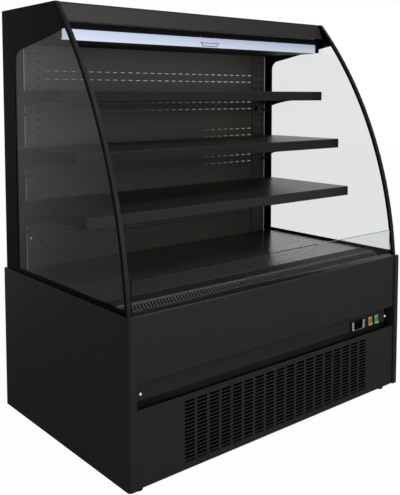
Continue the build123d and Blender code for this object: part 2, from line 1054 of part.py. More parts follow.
with BuildPart() as canopy_roof:
    slab(-wall_half, wall_half, behind(roof_wide_front), behind(frame_rear), roof_top - roof_sheet, roof_top)
    slab(
        -fascia_reach,
        fascia_reach,
        behind(roof_front),
        behind(roof_wide_front),
        roof_top - roof_sheet,
        roof_top,
    )
finish(canopy_roof, "canopy_roof")

with BuildPart() as canopy_fascia:
    fascia_line = roof_top - roof_sheet - sheet / 2
    folded_sheet(
        [
            (behind(fascia_top_setback + fascia_flange), fascia_line),
            (behind(fascia_top_setback), fascia_line),
            (behind(fascia_front) + sheet / 2, above(fascia_bottom)),
        ],
        sheet,
        fascia_bend,
        fascia_reach,
    )
finish(canopy_fascia, "canopy_fascia")

with BuildPart() as canopy_underside:
    slab(
        -wall_half,
        wall_half,
        behind(underside_front),
        behind(underside_rear),
        above(canopy_level),
        above(canopy_level) + sheet,
    )
    with BuildSketch(Plane.XY.offset(above(canopy_level) - sheet)):
        with Locations((0, behind(outlet_setback))):
            with GridLocations(outlet_pitch, 1, outlet_count, 1):
                Rectangle(outlet_slot, outlet_length)
    extrude(amount=3 * sheet, mode=Mode.SUBTRACT)
finish(canopy_underside, "canopy_underside")

blind_top_y = behind(rail_setback)
blind_top_z = above(rail_height) + rail_thickness / 2
tangent_y = blind_top_y + sheet_free * pull_run
tangent_z = blind_top_z + sheet_free * pull_drop
tube_y = tangent_y + (tube_radius + sheet_thickness / 2 + fit_gap) * pull_drop
tube_z = tangent_z - (tube_radius + sheet_thickness / 2 + fit_gap) * pull_run

with BuildPart() as canopy_cheeks:
    cheek_top = roof_top - roof_sheet - sheet - fit_gap
    for side in (-1, 1):
        outer_x = side * frame_inner
        with BuildSketch(Plane.YZ.offset(outer_x)):
            with BuildLine():
                Polyline(
                    (behind(cheek_front), above(canopy_level) + sheet),
                    (behind(cheek_rear), above(canopy_level) + sheet),
                    (behind(cheek_rear), cheek_top),
                    (behind(fascia_top_setback) + 2 * sheet, cheek_top),
                    (behind(fascia_front) + cheek_relief, above(fascia_bottom)),
                    (behind(cheek_front), above(fascia_bottom) - cheek_step),
                    close=True,
                )
            make_face()
        extrude(amount=-side * (frame_inner - canopy_half))
        with BuildSketch(Plane.YZ.offset(side * canopy_half)):
            with Locations((tube_y, tube_z)):
                Circle(pin_radius)
        extrude(amount=-side * (pin_length + fit_gap))
finish(canopy_cheeks, "canopy_cheeks")

with BuildPart() as lamp_housing:
    lamp_half = canopy_half - fit_gap
    housing_front = behind(lamp_front + diffuser_thickness)
    slab(-lamp_half, lamp_half, housing_front, behind(lamp_rear), above(canopy_level), above(lamp_top))
    slab(
        -lamp_half + lamp_wall,
        lamp_half - lamp_wall,
        housing_front - overcut,
        behind(lamp_rear - lamp_wall),
        above(canopy_level) + lamp_wall,
        above(lamp_top) - lamp_wall,
        mode=Mode.SUBTRACT,
    )
finish(lamp_housing, "lamp_housing")

with BuildPart() as lamp_diffuser:
    slab(-lamp_half, lamp_half, behind(lamp_front), housing_front, above(canopy_level), above(lamp_top))
finish(lamp_diffuser, "lamp_diffuser")

# ---------------------------------------------------------------- night blind

with BuildPart() as blind_tube:
    tube_half = canopy_half - fit_gap
    with BuildSketch(Plane.YZ.offset(-tube_half)):
        with Locations((tube_y, tube_z)):
            Circle(tube_radius)
    extrude(amount=2 * tube_half)
    for side in (-1, 1):
        with BuildSketch(Plane.YZ.offset(side * tube_half)):
            with Locations((tube_y, tube_z)):
                Circle(tube_bore)
        extrude(amount=-side * pin_bore_depth, mode=Mode.SUBTRACT)
finish(blind_tube, "blind_tube")

pull_plane = Plane(
    origin=(0, blind_top_y, blind_top_z),
    x_dir=(1, 0, 0),
    z_dir=(0, pull_run, pull_drop),
)

with BuildPart() as blind_sheet:
    with BuildSketch(pull_plane):
        Rectangle(2 * sheet_half, sheet_thickness)
    extrude(amount=sheet_free)
finish(blind_sheet, "blind_sheet")

with BuildPart() as blind_rail:
    slab(
        -rail_half,
        rail_half,
        blind_top_y - rail_depth / 2,
        blind_top_y + rail_depth / 2,
        blind_top_z - rail_thickness,
        blind_top_z - sheet_thickness,
    )
    fillet(blind_rail.edges().filter_by(Axis.X), radius=rail_bend)
    with BuildSketch(front_plane(blind_top_y - rail_depth / 2, handle_x, blind_top_z - rail_thickness / 2)):
        with GridLocations(handle_leg_gap, 1, 2, 1):
            Circle(boss_radius)
    extrude(amount=boss_rise)
finish(blind_rail, "blind_rail")

with BuildPart() as blind_handle:
    boss_face = blind_top_y - rail_depth / 2 - boss_rise
    boss_level = blind_top_z - rail_thickness / 2
    bar_y = boss_face - handle_reach
    bar_level = boss_level - handle_drop
    loop_level = boss_level - handle_loop_drop
    loop_left = handle_x - handle_leg_gap / 2
    loop_right = handle_x + handle_leg_gap / 2
    with BuildLine(Plane.XZ.offset(-bar_y)) as loop:
        FilletPolyline(
            (loop_left, bar_level),
            (loop_left, loop_level),
            (loop_right, loop_level),
            (loop_right, bar_level),
            radius=handle_bend,
        )
    with BuildSketch(Plane.XY.offset(bar_level)):
        with Locations((loop_left, bar_y)):
            Circle(handle_wire)
    sweep(path=loop.line)
    with BuildSketch(Plane.YZ.offset(handle_x - handle_width / 2)):
        with Locations((bar_y, bar_level)):
            Circle(handle_wire)
    extrude(amount=handle_width)
    leg_length = math.hypot(handle_reach, handle_drop) + 2 * handle_wire
    for leg_x in (loop_left, loop_right):
        with BuildSketch(Plane(origin=(leg_x, bar_y, bar_level), z_dir=(0, handle_reach, handle_drop))):
            Circle(handle_wire)
        extrude(amount=leg_length)
    slab(
        handle_x - handle_width,
        handle_x + handle_width,
        boss_face,
        boss_face + handle_drop,
        bar_level,
        boss_level + handle_drop,
        mode=Mode.SUBTRACT,
    )
finish(blind_handle, "blind_handle")

# ---------------------------------------------------------------- controls

strip_face = behind(strip_setback)
bezel_face = strip_face - bezel_proud
key_places = [
    (control_x + across * key_offset_x, above(control_height) + up * key_offset_z)
    for across in (-1, 1)
    for up in (1, -1)
]

with BuildPart() as controller_body:
    with BuildSketch(front_plane(strip_face)):
        with Locations((control_x, above(control_height))):
            RectangleRounded(bezel_width, bezel_height, radius=bezel_corner)
    extrude(amount=bezel_proud)
    with BuildSketch(front_plane(strip_face)):
        with Locations((control_x, above(control_height))):
            Rectangle(body_width, body_height)
    extrude(amount=-body_depth)
    with BuildSketch(front_plane(bezel_face)):
        with Locations(*key_places):
            RectangleRounded(key_width + 2 * key_gap, key_height + 2 * key_gap, radius=key_corner + key_gap)
    extrude(amount=-key_pocket, mode=Mode.SUBTRACT)
finish(controller_body, "controller_body")

with BuildPart() as controller_display:
    with BuildSketch(front_plane(bezel_face)):
        with Locations((control_x, above(control_height))):
            RectangleRounded(display_width, display_height, radius=display_corner)
    extrude(amount=display_thickness)
finish(controller_display, "controller_display")


def make_key(name, place):
    """one push key of the controller"""
    with BuildPart() as key:
        with BuildSketch(front_plane(bezel_face - key_proud)):
            with Locations(place):
                RectangleRounded(key_width, key_height, radius=key_corner)
        extrude(amount=-key_thickness)
    finish(key, name)


for key_name, key_place in zip(("key_up", "key_down", "key_set", "key_power"), key_places):
    make_key(key_name, key_place)

with BuildPart() as switch_housings:
    for switch_x in switch_positions:
        switch_place = (switch_x, above(switch_height))
        with BuildSketch(front_plane(strip_face)):
            with Locations(switch_place):
                RectangleRounded(switch_width, switch_tall, radius=switch_corner)
        extrude(amount=switch_proud)
        with BuildSketch(front_plane(strip_face)):
            with Locations(switch_place):
                Rectangle(switch_body_width, switch_body_tall)
        extrude(amount=-switch_body_depth)
        with BuildSketch(front_plane(strip_face - switch_proud)):
            with Locations(switch_place):
                Rectangle(rocker_width + 2 * rocker_gap, 2 * rocker_sweep + 2 * rocker_gap)
        extrude(amount=-rocker_cavity - switch_proud, mode=Mode.SUBTRACT)
        with BuildSketch(Plane.YZ.offset(switch_x - rocker_width / 2 - 2 * rocker_gap)):
            with Locations((strip_face - rocker_pivot, above(switch_height))):
                Circle(pivot_radius)
        extrude(amount=rocker_width + 4 * rocker_gap)
finish(switch_housings, "switch_housings")


def make_rocker(name, switch_x):
    """one rocker, pressed in at the top, on its pivot pin"""
    face = strip_face - switch_proud - rocker_proud
    tall = rocker_tall / 2
    middle = above(switch_height)
    swing = tall * math.tan(math.radians(rocker_angle))
    with BuildPart() as rocker:
        with BuildSketch(Plane.YZ.offset(switch_x - rocker_width / 2)):
            with BuildLine():
                Polyline(
                    (face, middle),
                    (face, middle + tall),
                    (face + rocker_depth, middle + tall),
                    (face + rocker_depth + rocker_belly, middle),
                    (face + rocker_depth - swing / 2, middle - tall),
                    (face - swing, middle - tall),
                    close=True,
                )
            make_face()
            with Locations((strip_face - rocker_pivot, middle)):
                Circle(rocker_sweep, mode=Mode.INTERSECT)
                Circle(pivot_radius + pivot_clearance, mode=Mode.SUBTRACT)
        extrude(amount=rocker_width)
    finish(rocker, name)


make_rocker("rocker_amber", switch_positions[0])
make_rocker("rocker_green", switch_positions[1])

# ---------------------------------------------------------------- bright screws

with BuildPart() as screws:
    for side in (-1, 1):
        with BuildSketch(front_plane(strip_face)):
            with Locations((side * (half_width - strip_screw_inset), above(strip_screw_height))):
                Circle(screw_radius)
        extrude(amount=screw_rise, taper=screw_taper)
    with BuildSketch(front_plane(behind(upright_front))):
        with Locations((-half_width + wall_screw_inset, above(wall_screw_height))):
            Circle(screw_radius)
    extrude(amount=screw_rise, taper=screw_taper)
finish(screws, "screws")

# ---------------------------------------------------------------- machinery


def coil_block(x_low, x_high, front, depth, low, high, pitch, fin):
    """fins and end plates threaded on rows of tubes"""
    y_low = behind(front)
    y_high = behind(front + depth)
    z_low = above(low)
    z_high = above(high)
    middle = ((x_low + x_high) / 2, (y_low + y_high) / 2, (z_low + z_high) / 2)
    with Locations(middle):
        with GridLocations(pitch, 1, int((x_high - x_low) / pitch), 1):
            Box(fin, depth, z_high - z_low)
    for end in (x_low, x_high - coil_end_plate):
        slab(end, end + coil_end_plate, y_low, y_high, z_low, z_high)
    with BuildSketch(Plane.YZ.offset(x_low - coil_tube_stub)) as tubes:
        with Locations(((y_low + y_high) / 2, (z_low + z_high) / 2)):
            with GridLocations(depth / 2, (z_high - z_low) / tube_rows, 2, tube_rows):
                Circle(coil_tube_radius)
    extrude(tubes.sketch, amount=x_high - x_low + 2 * coil_tube_stub)


def motor_with_struts(x, z, plate_rear, hole_radius, radius, length, depth):
    """fan motor with its shaft, held behind a plate by a cross bar on two posts"""
    face = plate_rear + fan_gap + depth / 2
    reach = hole_radius + strut_width
    for side in (-1, 1):
        post_low = x + side * reach - strut_width / 2
        slab(post_low, post_low + strut_width, plate_rear, face + strut_width, z - strut_width / 2, z + strut_width / 2)
    slab(x - reach, x + reach, face, face + strut_width, z - strut_width / 2, z + strut_width / 2)
    with BuildSketch(front_plane(face, x, z)) as motor:
        Circle(radius)
    extrude(motor.sketch, amount=-length)
    with BuildSketch(front_plane(face, x, z)) as shaft:
        Circle(shaft_radius)
    extrude(shaft.sketch, amount=depth + 2 * fan_gap)


def make_rotor(name, x, z, plate_rear, hole_radius, depth):
    """hub and pitched blades of a fan, in the plane of its plate's rear face"""
    hub_radius = hole_radius * hub_share
    reach = hole_radius - fan_gap - hub_radius / 2
    chord = (depth - blade_thickness) / math.sin(math.radians(blade_pitch))
    with BuildPart() as rotor:
        for step in range(fan_blades):
            blade = Box(chord, blade_thickness, reach, mode=Mode.PRIVATE)
            blade = Pos(0, 0, (reach + hub_radius) / 2) * blade
            blade = Rot(0, 360 * step / fan_blades, 0) * Rot(0, 0, blade_pitch) * blade
            add(Pos(x, plate_rear, z) * blade)
        with BuildSketch(front_plane(plate_rear + depth / 2, x, z)):
            Circle(hub_radius)
        extrude(amount=depth)
        with BuildSketch(front_plane(plate_rear + depth, x, z)):
            Circle(shaft_radius + shaft_clearance)
        extrude(amount=2 * depth, mode=Mode.SUBTRACT)
    finish(rotor, name)


with BuildPart() as condenser_coil:
    coil_block(coil_left, coil_right, coil_front, coil_depth, coil_bottom, coil_top, fin_pitch, fin_sheet)
    for end in (coil_left, coil_right - coil_end_plate):
        slab(
            end,
            end + coil_end_plate,
            behind(coil_front),
            behind(coil_front + coil_depth),
            above(floor_sheet),
            above(coil_bottom) + overcut,
        )
finish(condenser_coil, "condenser_coil")

coil_middle_x = (coil_left + coil_right) / 2
coil_middle_z = above((coil_bottom + coil_top) / 2)
shroud_front = behind(coil_front + coil_depth)
shroud_rear = shroud_front + shroud_depth

with BuildPart() as condenser_fan_housing:
    slab(coil_left, coil_right, shroud_front, shroud_rear, above(floor_sheet), above(coil_top))
    slab(
        coil_left + shroud_sheet,
        coil_right - shroud_sheet,
        shroud_front - overcut,
        shroud_rear - shroud_sheet,
        above(coil_bottom),
        above(coil_top) - shroud_sheet,
        mode=Mode.SUBTRACT,
    )
    with BuildSketch(front_plane(shroud_front, coil_middle_x, coil_middle_z)):
        Circle(fan_hole_radius)
    extrude(amount=-2 * shroud_depth, mode=Mode.SUBTRACT)
    motor_with_struts(
        coil_middle_x,
        coil_middle_z,
        shroud_rear,
        fan_hole_radius,
        motor_radius,
        motor_length,
        blade_depth,
    )
finish(condenser_fan_housing, "condenser_fan_housing")
make_rotor("condenser_fan_blades", coil_middle_x, coil_middle_z, shroud_rear, fan_hole_radius, blade_depth)

with BuildPart() as compressor:
    middle_y = behind(compressor_setback)
    plate_level = above(floor_sheet) + compressor_mount_height
    half_base_width = compressor_base_width / 2
    half_base_depth = compressor_base_depth / 2
    with BuildSketch(Plane.XY.offset(plate_level)):
        with Locations((compressor_x, middle_y)):
            RectangleRounded(compressor_base_width, compressor_base_depth, radius=compressor_mount_radius)
    extrude(amount=compressor_base_sheet)
    with BuildSketch(Plane.XY.offset(above(floor_sheet))):
        with Locations((compressor_x, middle_y)):
            with GridLocations(
                compressor_base_width - 2 * compressor_mount_radius,
                compressor_base_depth - 2 * compressor_mount_radius,
                2,
                2,
            ):
                Circle(compressor_mount_radius)
    extrude(amount=compressor_mount_height)
    with BuildSketch(Plane.XY.offset(plate_level)):
        with Locations((compressor_x, middle_y)):
            Circle(compressor_radius)
    extrude(amount=compressor_height)
    fillet(compressor.edges().group_by(Axis.Z)[-1], radius=compressor_shoulder)
    with BuildSketch(Plane.YZ.offset(compressor_x)):
        with Locations((middle_y, plate_level + compressor_height / 2)):
            with GridLocations(compressor_radius, 1, 2, 1):
                Circle(coil_tube_radius)
    extrude(amount=-compressor_radius - pipe_stub)
    with BuildSketch(Plane.YZ.offset(compressor_x)):
        with Locations((middle_y, plate_level + compressor_height / 2)):
            RectangleRounded(terminal_cover_width, terminal_cover_height, radius=terminal_corner)
    extrude(amount=compressor_radius + terminal_cover_depth)
finish(compressor, "compressor")

with BuildPart() as electrical_box:
    slab(
        box_x - box_width / 2,
        box_x + box_width / 2,
        behind(box_setback - box_depth / 2),
        behind(box_setback + box_depth / 2),
        above(floor_sheet),
        above(floor_sheet) + box_height,
    )
    fillet(electrical_box.edges().filter_by(Axis.Z), radius=box_corner)
    slab(
        box_x - box_width / 2 - box_lid_lap,
        box_x + box_width / 2 + box_lid_lap,
        behind(box_setback - box_depth / 2) - box_lid_lap,
        behind(box_setback + box_depth / 2) + box_lid_lap,
        above(floor_sheet) + box_height - box_lid,
        above(floor_sheet) + box_height,
    )
finish(electrical_box, "electrical_box")

with BuildPart() as evaporator_coil:
    coil_block(
        -evaporator_half,
        evaporator_half,
        evaporator_front,
        evaporator_depth,
        well_bottom + well_wall,
        well_bottom + well_wall + evaporator_height,
        evaporator_fin_pitch,
        evaporator_fin,
    )
finish(evaporator_coil, "evaporator_coil")

evaporator_fan_z = above(well_bottom + well_wall + evaporator_plate_height / 2)
evaporator_plate_rear = behind(evaporator_fan_setback) + shroud_sheet

with BuildPart() as evaporator_fan_housings:
    slab(
        -evaporator_plate_half,
        evaporator_plate_half,
        behind(evaporator_fan_setback),
        evaporator_plate_rear,
        above(well_bottom + well_wall),
        above(well_bottom + well_wall + evaporator_plate_height),
    )
    with BuildSketch(front_plane(behind(evaporator_fan_setback), 0, evaporator_fan_z)):
        with GridLocations(2 * evaporator_fan_x, 1, 2, 1):
            Circle(evaporator_hole_radius)
    extrude(amount=-2 * shroud_sheet, mode=Mode.SUBTRACT)
    for side in (-1, 1):
        motor_with_struts(
            side * evaporator_fan_x,
            evaporator_fan_z,
            evaporator_plate_rear,
            evaporator_hole_radius,
            evaporator_motor_radius,
            evaporator_motor_length,
            evaporator_blade_depth,
        )
finish(evaporator_fan_housings, "evaporator_fan_housings")

for side, side_name in ((-1, "left"), (1, "right")):
    make_rotor(
        f"evaporator_fan_blades_{side_name}",
        side * evaporator_fan_x,
        evaporator_fan_z,
        evaporator_plate_rear,
        evaporator_hole_radius,
        evaporator_blade_depth,
    )
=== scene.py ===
import bpy
import bmesh
import math
from mathutils import Matrix, Vector


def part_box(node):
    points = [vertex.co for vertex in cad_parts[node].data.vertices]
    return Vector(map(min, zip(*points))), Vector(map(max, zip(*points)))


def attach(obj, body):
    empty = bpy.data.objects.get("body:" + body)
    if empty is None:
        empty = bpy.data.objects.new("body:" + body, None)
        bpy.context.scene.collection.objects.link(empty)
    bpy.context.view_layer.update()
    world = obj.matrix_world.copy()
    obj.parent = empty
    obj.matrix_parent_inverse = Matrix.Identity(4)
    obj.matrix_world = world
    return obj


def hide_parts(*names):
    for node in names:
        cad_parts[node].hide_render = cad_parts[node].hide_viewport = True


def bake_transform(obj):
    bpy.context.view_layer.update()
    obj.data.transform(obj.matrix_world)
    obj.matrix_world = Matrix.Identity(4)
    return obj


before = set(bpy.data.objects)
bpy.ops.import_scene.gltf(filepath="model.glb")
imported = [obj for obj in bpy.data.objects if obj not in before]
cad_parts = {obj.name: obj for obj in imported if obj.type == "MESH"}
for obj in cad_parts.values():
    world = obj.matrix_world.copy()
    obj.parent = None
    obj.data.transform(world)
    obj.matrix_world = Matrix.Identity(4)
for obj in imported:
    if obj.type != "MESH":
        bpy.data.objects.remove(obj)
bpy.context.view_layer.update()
scene = bpy.context.scene
MM = 0.001
WHITE = (1, 1, 1, 1)
# the sockets of a colour Mix node, whose names repeat, so that only their numbers tell them apart
FACTOR, FIRST, SECOND = 0, 6, 7
MIXED = 2
# most values of a noise texture lie between these two
NOISE_LOW, NOISE_HIGH = 0.3, 0.7
# a light path's bounces are whole numbers, so half a bounce tells none from some
HALF_BOUNCE = 0.5


# ------------------------------------------------------------------ colour and nodes
def linear(hex_code):
    """an sRGB hex colour as linear red, green, blue and alpha"""
    values = [int(hex_code[i:i + 2], 16) / 255 for i in (1, 3, 5)]
    return [v / 12.92 if v <= 0.04045 else ((v + 0.055) / 1.055) ** 2.4 for v in values] + [1.0]


def per_metre(size_mm):
    """how many features of a size fit in a metre, which is what a texture's Scale asks for"""
    return 1000 / size_mm


def add_node(tree, kind, settings=None, links=None):
    """adds a node with its settings (sockets by name or number, else attributes) and its incoming links"""
    node = tree.nodes.new(kind)
    attributes = {k: v for k, v in (settings or {}).items() if isinstance(k, str) and k not in node.inputs}
    for key, value in attributes.items():
        setattr(node, key, value)
    for key, value in (settings or {}).items():
        if key not in attributes:
            node.inputs[key].default_value = value
    for key, (source, output) in (links or {}).items():
        tree.links.new(source.outputs[output], node.inputs[key])
    return node


def new_material(name):
    """an empty node material, and its tree"""
    material = bpy.data.materials.new(name)
    material.use_nodes = True
    material.node_tree.nodes.clear()
    return material, material.node_tree


def finish_material(tree, shader, output="BSDF"):
    """joins a shader to the material's output"""
    add_node(tree, "ShaderNodeOutputMaterial", {}, {"Surface": (shader, output)})


def coat_or_moulding(name, light, dark, roughness, spread, peel_mm, relief_mm, patch_mm, specular):
    """powder coat, paint or moulded plastic: a colour that drifts a little in broad patches, and a fine
    orange-peel relief that also breaks the sheen"""
    material, tree = new_material(name)
    place = add_node(tree, "ShaderNodeTexCoord")
    patches = add_node(
        tree,
        "ShaderNodeTexNoise",
        {"Scale": per_metre(patch_mm), "Detail": 3.0},
        {"Vector": (place, "Object")},
    )
    peel = add_node(
        tree,
        "ShaderNodeTexNoise",
        {"Scale": per_metre(peel_mm), "Detail": 2.0},
        {"Vector": (place, "Object")},
    )
    tone = add_node(
        tree,
        "ShaderNodeMix",
        {"data_type": "RGBA", FIRST: linear(light), SECOND: linear(dark)},
        {FACTOR: (patches, 0)},
    )
    sheen = add_node(
        tree,
        "ShaderNodeMapRange",
        {
            "From Min": NOISE_LOW, "From Max": NOISE_HIGH,
            "To Min": roughness - spread, "To Max": roughness + spread,
        },
        {"Value": (peel, 0)},
    )
    bump = add_node(
        tree, "ShaderNodeBump", {"Strength": 0.5, "Distance": relief_mm * MM}, {"Height": (peel, 0)}
    )
    shader = add_node(
        tree,
        "ShaderNodeBsdfPrincipled",
        {"Specular IOR Level": specular},
        {"Base Color": (tone, MIXED), "Roughness": (sheen, 0), "Normal": (bump, 0)},
    )
    finish_material(tree, shader)
    return material


def bare_metal(name, light, dark, roughness, grain_mm, metallic):
    """plated or blackened metal: a fine grain in its tone and sheen"""
    spread = 0.08
    relief_mm = 0.05
    material, tree = new_material(name)
    place = add_node(tree, "ShaderNodeTexCoord")
    grain = add_node(
        tree,
        "ShaderNodeTexNoise",
        {"Scale": per_metre(grain_mm), "Detail": 4.0},
        {"Vector": (place, "Object")},
    )
    tone = add_node(
        tree,
        "ShaderNodeMix",
        {"data_type": "RGBA", FIRST: linear(dark), SECOND: linear(light)},
        {FACTOR: (grain, 0)},
    )
    sheen = add_node(
        tree,
        "ShaderNodeMapRange",
        {
            "From Min": NOISE_LOW, "From Max": NOISE_HIGH,
            "To Min": roughness - spread, "To Max": roughness + spread,
        },
        {"Value": (grain, 0)},
    )
    bump = add_node(
        tree, "ShaderNodeBump", {"Strength": 0.3, "Distance": relief_mm * MM}, {"Height": (grain, 0)}
    )
    shader = add_node(
        tree,
        "ShaderNodeBsdfPrincipled",
        {"Metallic": metallic},
        {"Base Color": (tone, MIXED), "Roughness": (sheen, 0), "Normal": (bump, 0)},
    )
    finish_material(tree, shader)
    return material


def metal_with_painted_highlight(name, left, right, begins, run, specular=0.5, glint=0.0):
    """coated metal with a painted highlight: its tone goes from one shade to another along the case's width,
    with a fine grain in its sheen; glint is a painted glow that stands for the lamp that its pressed edges
    mirror"""
    grain_mm = 1.5
    material, tree = new_material(name)
    place = add_node(tree, "ShaderNodeTexCoord")
    split = add_node(tree, "ShaderNodeSeparateXYZ", {}, {0: (place, "Object")})
    along = add_node(
        tree, "ShaderNodeMapRange", {"From Min": begins, "From Max": begins + run}, {"Value": (split, "X")}
    )
    tone = add_node(
        tree,
        "ShaderNodeMix",
        {"data_type": "RGBA", FIRST: linear(left), SECOND: linear(right)},
        {FACTOR: (along, 0)},
    )
    grain = add_node(
        tree,
        "ShaderNodeTexNoise",
        {"Scale": per_metre(grain_mm), "Detail": 3.0},
        {"Vector": (place, "Object")},
    )
    sheen = add_node(tree, "ShaderNodeMapRange", {"To Min": 0.34, "To Max": 0.46}, {"Value": (grain, 0)})
    shader = add_node(
        tree,
        "ShaderNodeBsdfPrincipled",
        {"Metallic": 0.15, "Specular IOR Level": specular, "Emission Strength": glint},
        {"Base Color": (tone, MIXED), "Roughness": (sheen, 0), "Emission Color": (tone, MIXED)},
    )
    finish_material(tree, shader)
    return material


def handle_wire(dark, pale, middle, reach):
    """drawn steel wire: dark, with a pale painted reflection of the lit cover within reach of a level"""
    material, tree = new_material("drawn_steel_wire")
    place = add_node(tree, "ShaderNodeTexCoord")
    split = add_node(tree, "ShaderNodeSeparateXYZ", {}, {0: (place, "Object")})
    near = add_node(tree, "ShaderNodeMath", {"operation": "COMPARE", 1: middle, 2: reach}, {0: (split, "Z")})
    tone = add_node(
        tree,
        "ShaderNodeMix",
        {"data_type": "RGBA", FIRST: linear(dark), SECOND: linear(pale)},
        {FACTOR: (near, 0)},
    )
    shader = add_node(
        tree, "ShaderNodeBsdfPrincipled", {"Metallic": 0.15, "Roughness": 0.4}, {"Base Color": (tone, MIXED)}
    )
    finish_material(tree, shader)
    return material


def galvanised_sheet():
    """hot-dip galvanised steel: angular zinc spangles, each a slightly different grey and sheen"""
    spangle_mm = 9
    material, tree = new_material("galvanised_steel_sheet")
    place = add_node(tree, "ShaderNodeTexCoord")
    spangle = add_node(
        tree, "ShaderNodeTexVoronoi", {"Scale": per_metre(spangle_mm)}, {"Vector": (place, "Object")}
    )
    split = add_node(tree, "ShaderNodeSeparateColor", {}, {0: (spangle, "Color")})
    tone = add_node(
        tree,
        "ShaderNodeMix",
        {"data_type": "RGBA", FIRST: linear("#7c8081"), SECOND: linear("#9da1a2")},
        {FACTOR: (split, 0)},
    )
    sheen = add_node(tree, "ShaderNodeMapRange", {"To Min": 0.38, "To Max": 0.56}, {"Value": (split, 1)})
    shader = add_node(
        tree,
        "ShaderNodeBsdfPrincipled",
        {"Metallic": 0.9},
        {"Base Color": (tone, MIXED), "Roughness": (sheen, 0)},
    )
    finish_material(tree, shader)
    return material


def float_glass(name, tint, specular):
    """clear 6 mm float glass: a faint body tint, and a smear that shows only in its sheen"""
    smear_mm = 160
    material, tree = new_material(name)
    place = add_node(tree, "ShaderNodeTexCoord")
    smear = add_node(
        tree,
        "ShaderNodeTexNoise",
        {"Scale": per_metre(smear_mm), "Detail": 3.0},
        {"Vector": (place, "Object")},
    )
    sheen = add_node(tree, "ShaderNodeMapRange", {"To Min": 0.0, "To Max": 0.02}, {"Value": (smear, 0)})
    shader = add_node(
        tree,
        "ShaderNodeBsdfPrincipled",
        {"Base Color": linear(tint), "Transmission Weight": 1.0, "IOR": 1.5, "Specular IOR Level": specular},
        {"Roughness": (sheen, 0)},
    )
    finish_material(tree, shader)
    return material


def opal_lamp_cover(low, high):
    """opal acrylic over a strip of cool white diodes: it fades a little upwards, and from left to right"""
    material, tree = new_material("opal_acrylic_lit")
    place = add_node(tree, "ShaderNodeTexCoord")
    split = add_node(tree, "ShaderNodeSeparateXYZ", {}, {0: (place, "Object")})
    rise = add_node(
        tree, "ShaderNodeMapRange", {"From Min": low.z, "From Max": high.z}, {"Value": (split, "Z")}
    )
    # the shades at the foot and the top, at the left end, the middle and the right end
    shades = (("#dae2f8", "#ced6ef"), ("#ced6e9", "#b5bdd3"), ("#c0c8db", "#a4acc2"))
    left, middle, right = [
        add_node(
            tree,
            "ShaderNodeMix",
            {"data_type": "RGBA", FIRST: linear(foot), SECOND: linear(top)},
            {FACTOR: (rise, 0)},
        )
        for foot, top in shades
    ]
    tone = left
    for begins, ends, following in ((low.x, 0.0, middle), (0.0, high.x, right)):
        along = add_node(
            tree, "ShaderNodeMapRange", {"From Min": begins, "From Max": ends}, {"Value": (split, "X")}
        )
        tone = add_node(
            tree,
            "ShaderNodeMix",
            {"data_type": "RGBA"},
            {FACTOR: (along, 0), FIRST: (tone, MIXED), SECOND: (following, MIXED)},
        )
    shader = add_node(
        tree,
        "ShaderNodeBsdfPrincipled",
        {
            "Base Color": linear("#1c1c1e"), "Roughness": 0.6, "Specular IOR Level": 0.1,
            "Emission Strength": 1.0,
        },
        {"Emission Color": (tone, MIXED)},
    )
    finish_material(tree, shader)
    return material


def woven_blind_cloth():
    """aluminised polyester cloth: a plain weave of 1.2 mm threads, drawn at 4 mm so that it shows"""
    thread_mm = 4
    relief_mm = 0.2
    material, tree = new_material("aluminised_polyester_cloth")
    place = add_node(tree, "ShaderNodeTexCoord")
    weave = add_node(
        tree,
        "ShaderNodeTexChecker",
        {"Scale": per_metre(thread_mm), "Color1": linear("#6d6f70"), "Color2": linear("#595b5c")},
        {"Vector": (place, "Object")},
    )
    bump = add_node(
        tree, "ShaderNodeBump", {"Strength": 0.4, "Distance": relief_mm * MM}, {"Height": (weave, "Fac")}
    )
    shader = add_node(
        tree,
        "ShaderNodeBsdfPrincipled",
        {"Roughness": 0.55, "Sheen Weight": 0.15},
        {"Base Color": (weave, "Color"), "Normal": (bump, 0)},
    )
    finish_material(tree, shader)
    return material


def lens_plastic(name, core, rim, middle, reach):
    """translucent polycarbonate rocker: deeper in the middle, paler where the moulding thins at both ends"""
    core_share = 0.35
    material, tree = new_material(name)
    place = add_node(tree, "ShaderNodeTexCoord")
    split = add_node(tree, "ShaderNodeSeparateXYZ", {}, {0: (place, "Object")})
    offset = add_node(tree, "ShaderNodeMath", {"operation": "SUBTRACT", 1: middle}, {0: (split, "Z")})
    distance = add_node(tree, "ShaderNodeMath", {"operation": "ABSOLUTE"}, {0: (offset, 0)})
    ends = add_node(
        tree,
        "ShaderNodeMapRange",
        {"From Min": reach * core_share, "From Max": reach},
        {"Value": (distance, 0)},
    )
    tone = add_node(
        tree,
        "ShaderNodeMix",
        {"data_type": "RGBA", FIRST: linear(core), SECOND: linear(rim)},
        {FACTOR: (ends, 0)},
    )
    shader = add_node(
        tree,
        "ShaderNodeBsdfPrincipled",
        {"Roughness": 0.28, "Subsurface Weight": 0.2, "Subsurface Radius": (0.004, 0.004, 0.002)},
        {"Base Color": (tone, MIXED)},
    )
    finish_material(tree, shader)
    return material


# ------------------------------------------------------------------ finishes
# satin black polyester powder coat: near-black, soft broad highlight
outer_coat = coat_or_moulding(
    "satin_black_powder_coat", "#22211f", "#1e1d1c",
    roughness=0.46, spread=0.05, peel_mm=3.0, relief_mm=0.03, patch_mm=260, specular=0.3,
)
# the end frames are wet-painted black steel, darker, warmer and with less shine than the panels
frame_coat = coat_or_moulding(
    "matt_black_painted_steel", "#0f0c08", "#0a0806",
    roughness=0.45, spread=0.04, peel_mm=4.0, relief_mm=0.03, patch_mm=300, specular=0.05,
)
# powder coat inside the case, a shade lighter and duller than outside
inner_coat = coat_or_moulding(
    "matt_black_powder_coat_inside", "#2a2926", "#252421",
    roughness=0.6, spread=0.06, peel_mm=3.0, relief_mm=0.05, patch_mm=200, specular=0.15,
)
